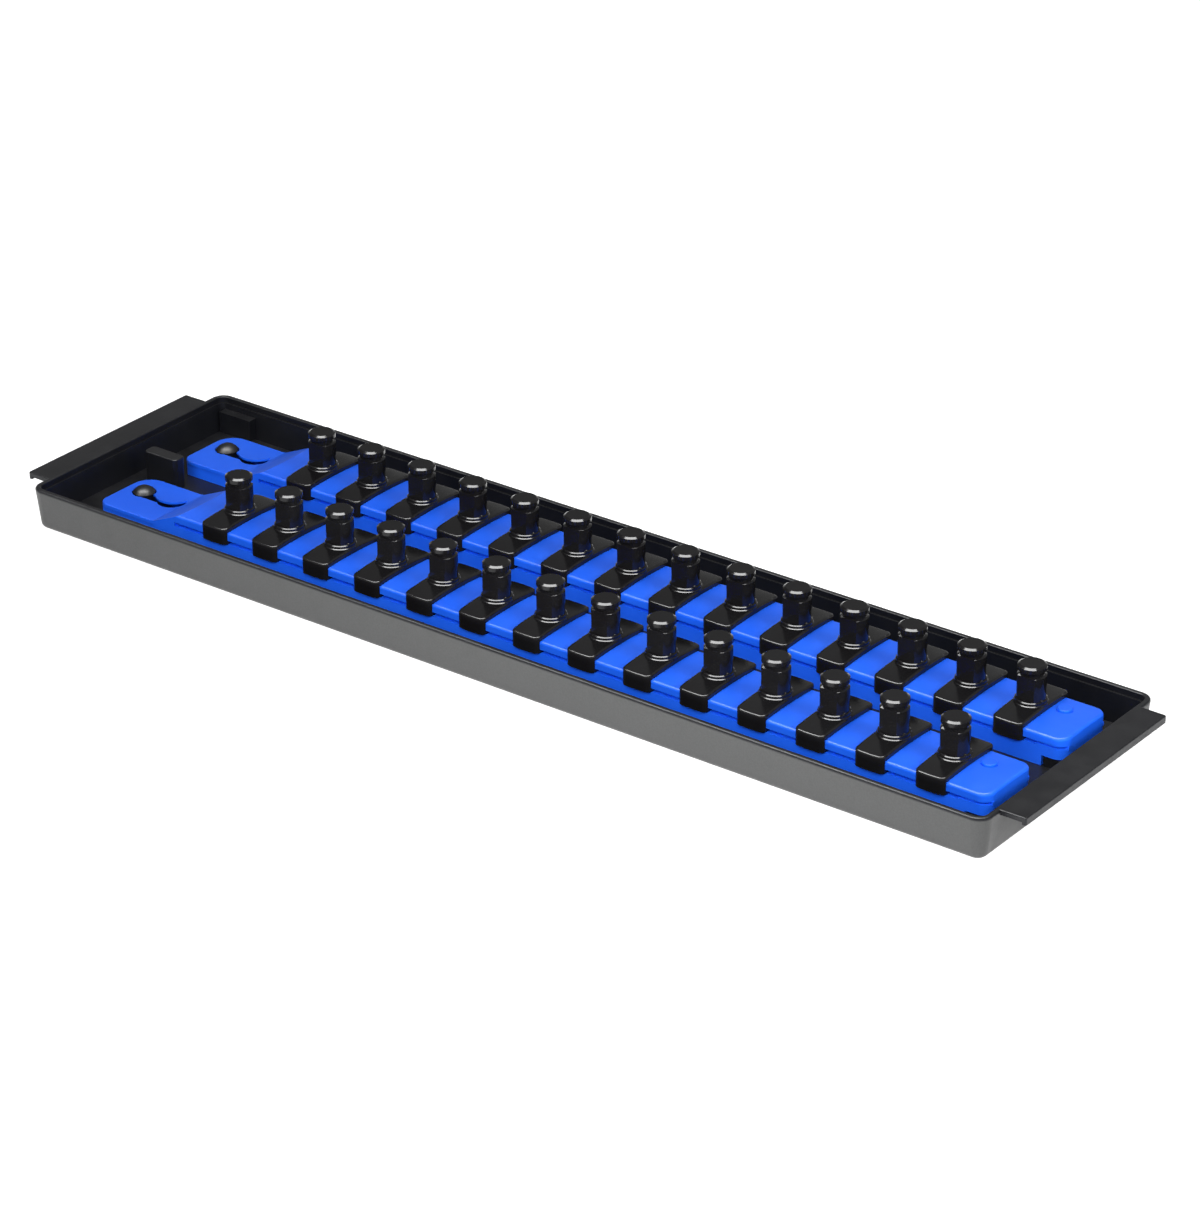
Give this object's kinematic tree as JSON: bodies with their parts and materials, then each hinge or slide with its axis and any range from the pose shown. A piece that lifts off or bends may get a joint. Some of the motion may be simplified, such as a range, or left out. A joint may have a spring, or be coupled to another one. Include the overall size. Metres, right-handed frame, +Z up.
{
  "type": "twist-lock socket organizer",
  "caption": "Shallow tray with two lift-out rails, whose sliding clips carry quarter-turn posts that hold drive sockets upright.",
  "frame": {"origin": "middle of the tray's footprint, on the surface that it stands on", "axes": "+X along the tray from the rails' keyhole heads to their hooked ends, +Y to the back, +Z up"},
  "size_m": [0.483, 0.1186, 0.0352],
  "materials": {
    "tray_black": "fine-grained moulded black plastic, semi-matte",
    "rail_blue": "bright blue moulded plastic, satin gloss",
    "clip_black": "smooth black moulded plastic, satin gloss",
    "post_black": "smooth black moulded plastic, satin gloss"
  },
  "bodies": {
    "tray": {"tray": "tray_black"},
    "rail_front": {"rail_front": "rail_blue"},
    "clip_base_front_01": {"clip_base_front_01": "clip_black"},
    "twist_post_front_01": {"twist_post_front_01": "post_black"},
    "clip_base_front_02": {"clip_base_front_02": "clip_black"},
    "twist_post_front_02": {"twist_post_front_02": "post_black"},
    "clip_base_front_03": {"clip_base_front_03": "clip_black"},
    "twist_post_front_03": {"twist_post_front_03": "post_black"},
    "clip_base_front_04": {"clip_base_front_04": "clip_black"},
    "twist_post_front_04": {"twist_post_front_04": "post_black"},
    "clip_base_front_05": {"clip_base_front_05": "clip_black"},
    "twist_post_front_05": {"twist_post_front_05": "post_black"},
    "clip_base_front_06": {"clip_base_front_06": "clip_black"},
    "twist_post_front_06": {"twist_post_front_06": "post_black"},
    "clip_base_front_07": {"clip_base_front_07": "clip_black"},
    "twist_post_front_07": {"twist_post_front_07": "post_black"},
    "clip_base_front_08": {"clip_base_front_08": "clip_black"},
    "twist_post_front_08": {"twist_post_front_08": "post_black"},
    "clip_base_front_09": {"clip_base_front_09": "clip_black"},
    "twist_post_front_09": {"twist_post_front_09": "post_black"},
    "clip_base_front_10": {"clip_base_front_10": "clip_black"},
    "twist_post_front_10": {"twist_post_front_10": "post_black"},
    "clip_base_front_11": {"clip_base_front_11": "clip_black"},
    "twist_post_front_11": {"twist_post_front_11": "post_black"},
    "clip_base_front_12": {"clip_base_front_12": "clip_black"},
    "twist_post_front_12": {"twist_post_front_12": "post_black"},
    "clip_base_front_13": {"clip_base_front_13": "clip_black"},
    "twist_post_front_13": {"twist_post_front_13": "post_black"},
    "clip_base_front_14": {"clip_base_front_14": "clip_black"},
    "twist_post_front_14": {"twist_post_front_14": "post_black"},
    "rail_rear": {"rail_rear": "rail_blue"},
    "clip_base_rear_01": {"clip_base_rear_01": "clip_black"},
    "twist_post_rear_01": {"twist_post_rear_01": "post_black"},
    "clip_base_rear_02": {"clip_base_rear_02": "clip_black"},
    "twist_post_rear_02": {"twist_post_rear_02": "post_black"},
    "clip_base_rear_03": {"clip_base_rear_03": "clip_black"},
    "twist_post_rear_03": {"twist_post_rear_03": "post_black"},
    "clip_base_rear_04": {"clip_base_rear_04": "clip_black"},
    "twist_post_rear_04": {"twist_post_rear_04": "post_black"},
    "clip_base_rear_05": {"clip_base_rear_05": "clip_black"},
    "twist_post_rear_05": {"twist_post_rear_05": "post_black"},
    "clip_base_rear_06": {"clip_base_rear_06": "clip_black"},
    "twist_post_rear_06": {"twist_post_rear_06": "post_black"},
    "clip_base_rear_07": {"clip_base_rear_07": "clip_black"},
    "twist_post_rear_07": {"twist_post_rear_07": "post_black"},
    "clip_base_rear_08": {"clip_base_rear_08": "clip_black"},
    "twist_post_rear_08": {"twist_post_rear_08": "post_black"},
    "clip_base_rear_09": {"clip_base_rear_09": "clip_black"},
    "twist_post_rear_09": {"twist_post_rear_09": "post_black"},
    "clip_base_rear_10": {"clip_base_rear_10": "clip_black"},
    "twist_post_rear_10": {"twist_post_rear_10": "post_black"},
    "clip_base_rear_11": {"clip_base_rear_11": "clip_black"},
    "twist_post_rear_11": {"twist_post_rear_11": "post_black"},
    "clip_base_rear_12": {"clip_base_rear_12": "clip_black"},
    "twist_post_rear_12": {"twist_post_rear_12": "post_black"},
    "clip_base_rear_13": {"clip_base_rear_13": "clip_black"},
    "twist_post_rear_13": {"twist_post_rear_13": "post_black"},
    "clip_base_rear_14": {"clip_base_rear_14": "clip_black"},
    "twist_post_rear_14": {"twist_post_rear_14": "post_black"}
  },
  "joints": [
    {"name": "rail_front_lift", "type": "hinge", "parent": "tray", "child": "rail_front", "pos_m": [0.22315, -0.0258, 0.00465], "axis": [0, 1, 0], "range_deg": [0, 10]},
    {"name": "clip_base_front_01_slide", "type": "slide", "parent": "rail_front", "child": "clip_base_front_01", "axis": [1, 0, 0], "range_m": [-0.0149, 0.006]},
    {"name": "twist_post_front_01_turn", "type": "hinge", "parent": "clip_base_front_01", "child": "twist_post_front_01", "pos_m": [-0.1459, -0.0258, 0.025], "axis": [0, 0, 1], "range_deg": [0, 90]},
    {"name": "clip_base_front_02_slide", "type": "slide", "parent": "rail_front", "child": "clip_base_front_02", "axis": [1, 0, 0], "range_m": [-0.006, 0.006]},
    {"name": "twist_post_front_02_turn", "type": "hinge", "parent": "clip_base_front_02", "child": "twist_post_front_02", "pos_m": [-0.11955, -0.0258, 0.025], "axis": [0, 0, 1], "range_deg": [0, 90]},
    {"name": "clip_base_front_03_slide", "type": "slide", "parent": "rail_front", "child": "clip_base_front_03", "axis": [1, 0, 0], "range_m": [-0.006, 0.006]},
    {"name": "twist_post_front_03_turn", "type": "hinge", "parent": "clip_base_front_03", "child": "twist_post_front_03", "pos_m": [-0.09319, -0.0258, 0.025], "axis": [0, 0, 1], "range_deg": [0, 90]},
    {"name": "clip_base_front_04_slide", "type": "slide", "parent": "rail_front", "child": "clip_base_front_04", "axis": [1, 0, 0], "range_m": [-0.006, 0.006]},
    {"name": "twist_post_front_04_turn", "type": "hinge", "parent": "clip_base_front_04", "child": "twist_post_front_04", "pos_m": [-0.06684, -0.0258, 0.025], "axis": [0, 0, 1], "range_deg": [0, 90]},
    {"name": "clip_base_front_05_slide", "type": "slide", "parent": "rail_front", "child": "clip_base_front_05", "axis": [1, 0, 0], "range_m": [-0.006, 0.006]},
    {"name": "twist_post_front_05_turn", "type": "hinge", "parent": "clip_base_front_05", "child": "twist_post_front_05", "pos_m": [-0.04049, -0.0258, 0.025], "axis": [0, 0, 1], "range_deg": [0, 90]},
    {"name": "clip_base_front_06_slide", "type": "slide", "parent": "rail_front", "child": "clip_base_front_06", "axis": [1, 0, 0], "range_m": [-0.006, 0.006]},
    {"name": "twist_post_front_06_turn", "type": "hinge", "parent": "clip_base_front_06", "child": "twist_post_front_06", "pos_m": [-0.01413, -0.0258, 0.025], "axis": [0, 0, 1], "range_deg": [0, 90]},
    {"name": "clip_base_front_07_slide", "type": "slide", "parent": "rail_front", "child": "clip_base_front_07", "axis": [1, 0, 0], "range_m": [-0.006, 0.006]},
    {"name": "twist_post_front_07_turn", "type": "hinge", "parent": "clip_base_front_07", "child": "twist_post_front_07", "pos_m": [0.01222, -0.0258, 0.025], "axis": [0, 0, 1], "range_deg": [0, 90]},
    {"name": "clip_base_front_08_slide", "type": "slide", "parent": "rail_front", "child": "clip_base_front_08", "axis": [1, 0, 0], "range_m": [-0.006, 0.006]},
    {"name": "twist_post_front_08_turn", "type": "hinge", "parent": "clip_base_front_08", "child": "twist_post_front_08", "pos_m": [0.03858, -0.0258, 0.025], "axis": [0, 0, 1], "range_deg": [0, 90]},
    {"name": "clip_base_front_09_slide", "type": "slide", "parent": "rail_front", "child": "clip_base_front_09", "axis": [1, 0, 0], "range_m": [-0.006, 0.006]},
    {"name": "twist_post_front_09_turn", "type": "hinge", "parent": "clip_base_front_09", "child": "twist_post_front_09", "pos_m": [0.06493, -0.0258, 0.025], "axis": [0, 0, 1], "range_deg": [0, 90]},
    {"name": "clip_base_front_10_slide", "type": "slide", "parent": "rail_front", "child": "clip_base_front_10", "axis": [1, 0, 0], "range_m": [-0.006, 0.006]},
    {"name": "twist_post_front_10_turn", "type": "hinge", "parent": "clip_base_front_10", "child": "twist_post_front_10", "pos_m": [0.09129, -0.0258, 0.025], "axis": [0, 0, 1], "range_deg": [0, 90]},
    {"name": "clip_base_front_11_slide", "type": "slide", "parent": "rail_front", "child": "clip_base_front_11", "axis": [1, 0, 0], "range_m": [-0.006, 0.006]},
    {"name": "twist_post_front_11_turn", "type": "hinge", "parent": "clip_base_front_11", "child": "twist_post_front_11", "pos_m": [0.11764, -0.0258, 0.025], "axis": [0, 0, 1], "range_deg": [0, 90]},
    {"name": "clip_base_front_12_slide", "type": "slide", "parent": "rail_front", "child": "clip_base_front_12", "axis": [1, 0, 0], "range_m": [-0.006, 0.006]},
    {"name": "twist_post_front_12_turn", "type": "hinge", "parent": "clip_base_front_12", "child": "twist_post_front_12", "pos_m": [0.14399, -0.0258, 0.025], "axis": [0, 0, 1], "range_deg": [0, 90]},
    {"name": "clip_base_front_13_slide", "type": "slide", "parent": "rail_front", "child": "clip_base_front_13", "axis": [1, 0, 0], "range_m": [-0.006, 0.006]},
    {"name": "twist_post_front_13_turn", "type": "hinge", "parent": "clip_base_front_13", "child": "twist_post_front_13", "pos_m": [0.17035, -0.0258, 0.025], "axis": [0, 0, 1], "range_deg": [0, 90]},
    {"name": "clip_base_front_14_slide", "type": "slide", "parent": "rail_front", "child": "clip_base_front_14", "axis": [1, 0, 0], "range_m": [-0.006, 0.0015]},
    {"name": "twist_post_front_14_turn", "type": "hinge", "parent": "clip_base_front_14", "child": "twist_post_front_14", "pos_m": [0.1967, -0.0258, 0.025], "axis": [0, 0, 1], "range_deg": [0, 90]},
    {"name": "rail_rear_lift", "type": "hinge", "parent": "tray", "child": "rail_rear", "pos_m": [0.22315, 0.0258, 0.00465], "axis": [0, 1, 0], "range_deg": [0, 10]},
    {"name": "clip_base_rear_01_slide", "type": "slide", "parent": "rail_rear", "child": "clip_base_rear_01", "axis": [1, 0, 0], "range_m": [-0.0149, 0.006]},
    {"name": "twist_post_rear_01_turn", "type": "hinge", "parent": "clip_base_rear_01", "child": "twist_post_rear_01", "pos_m": [-0.1459, 0.0258, 0.025], "axis": [0, 0, 1], "range_deg": [0, 90]},
    {"name": "clip_base_rear_02_slide", "type": "slide", "parent": "rail_rear", "child": "clip_base_rear_02", "axis": [1, 0, 0], "range_m": [-0.006, 0.006]},
    {"name": "twist_post_rear_02_turn", "type": "hinge", "parent": "clip_base_rear_02", "child": "twist_post_rear_02", "pos_m": [-0.11955, 0.0258, 0.025], "axis": [0, 0, 1], "range_deg": [0, 90]},
    {"name": "clip_base_rear_03_slide", "type": "slide", "parent": "rail_rear", "child": "clip_base_rear_03", "axis": [1, 0, 0], "range_m": [-0.006, 0.006]},
    {"name": "twist_post_rear_03_turn", "type": "hinge", "parent": "clip_base_rear_03", "child": "twist_post_rear_03", "pos_m": [-0.09319, 0.0258, 0.025], "axis": [0, 0, 1], "range_deg": [0, 90]},
    {"name": "clip_base_rear_04_slide", "type": "slide", "parent": "rail_rear", "child": "clip_base_rear_04", "axis": [1, 0, 0], "range_m": [-0.006, 0.006]},
    {"name": "twist_post_rear_04_turn", "type": "hinge", "parent": "clip_base_rear_04", "child": "twist_post_rear_04", "pos_m": [-0.06684, 0.0258, 0.025], "axis": [0, 0, 1], "range_deg": [0, 90]},
    {"name": "clip_base_rear_05_slide", "type": "slide", "parent": "rail_rear", "child": "clip_base_rear_05", "axis": [1, 0, 0], "range_m": [-0.006, 0.006]},
    {"name": "twist_post_rear_05_turn", "type": "hinge", "parent": "clip_base_rear_05", "child": "twist_post_rear_05", "pos_m": [-0.04049, 0.0258, 0.025], "axis": [0, 0, 1], "range_deg": [0, 90]},
    {"name": "clip_base_rear_06_slide", "type": "slide", "parent": "rail_rear", "child": "clip_base_rear_06", "axis": [1, 0, 0], "range_m": [-0.006, 0.006]},
    {"name": "twist_post_rear_06_turn", "type": "hinge", "parent": "clip_base_rear_06", "child": "twist_post_rear_06", "pos_m": [-0.01413, 0.0258, 0.025], "axis": [0, 0, 1], "range_deg": [0, 90]},
    {"name": "clip_base_rear_07_slide", "type": "slide", "parent": "rail_rear", "child": "clip_base_rear_07", "axis": [1, 0, 0], "range_m": [-0.006, 0.006]},
    {"name": "twist_post_rear_07_turn", "type": "hinge", "parent": "clip_base_rear_07", "child": "twist_post_rear_07", "pos_m": [0.01222, 0.0258, 0.025], "axis": [0, 0, 1], "range_deg": [0, 90]},
    {"name": "clip_base_rear_08_slide", "type": "slide", "parent": "rail_rear", "child": "clip_base_rear_08", "axis": [1, 0, 0], "range_m": [-0.006, 0.006]},
    {"name": "twist_post_rear_08_turn", "type": "hinge", "parent": "clip_base_rear_08", "child": "twist_post_rear_08", "pos_m": [0.03858, 0.0258, 0.025], "axis": [0, 0, 1], "range_deg": [0, 90]},
    {"name": "clip_base_rear_09_slide", "type": "slide", "parent": "rail_rear", "child": "clip_base_rear_09", "axis": [1, 0, 0], "range_m": [-0.006, 0.006]},
    {"name": "twist_post_rear_09_turn", "type": "hinge", "parent": "clip_base_rear_09", "child": "twist_post_rear_09", "pos_m": [0.06493, 0.0258, 0.025], "axis": [0, 0, 1], "range_deg": [0, 90]},
    {"name": "clip_base_rear_10_slide", "type": "slide", "parent": "rail_rear", "child": "clip_base_rear_10", "axis": [1, 0, 0], "range_m": [-0.006, 0.006]},
    {"name": "twist_post_rear_10_turn", "type": "hinge", "parent": "clip_base_rear_10", "child": "twist_post_rear_10", "pos_m": [0.09129, 0.0258, 0.025], "axis": [0, 0, 1], "range_deg": [0, 90]},
    {"name": "clip_base_rear_11_slide", "type": "slide", "parent": "rail_rear", "child": "clip_base_rear_11", "axis": [1, 0, 0], "range_m": [-0.006, 0.006]},
    {"name": "twist_post_rear_11_turn", "type": "hinge", "parent": "clip_base_rear_11", "child": "twist_post_rear_11", "pos_m": [0.11764, 0.0258, 0.025], "axis": [0, 0, 1], "range_deg": [0, 90]},
    {"name": "clip_base_rear_12_slide", "type": "slide", "parent": "rail_rear", "child": "clip_base_rear_12", "axis": [1, 0, 0], "range_m": [-0.006, 0.006]},
    {"name": "twist_post_rear_12_turn", "type": "hinge", "parent": "clip_base_rear_12", "child": "twist_post_rear_12", "pos_m": [0.14399, 0.0258, 0.025], "axis": [0, 0, 1], "range_deg": [0, 90]},
    {"name": "clip_base_rear_13_slide", "type": "slide", "parent": "rail_rear", "child": "clip_base_rear_13", "axis": [1, 0, 0], "range_m": [-0.006, 0.006]},
    {"name": "twist_post_rear_13_turn", "type": "hinge", "parent": "clip_base_rear_13", "child": "twist_post_rear_13", "pos_m": [0.17035, 0.0258, 0.025], "axis": [0, 0, 1], "range_deg": [0, 90]},
    {"name": "clip_base_rear_14_slide", "type": "slide", "parent": "rail_rear", "child": "clip_base_rear_14", "axis": [1, 0, 0], "range_m": [-0.006, 0.0015]},
    {"name": "twist_post_rear_14_turn", "type": "hinge", "parent": "clip_base_rear_14", "child": "twist_post_rear_14", "pos_m": [0.1967, 0.0258, 0.025], "axis": [0, 0, 1], "range_deg": [0, 90]}
  ]
}
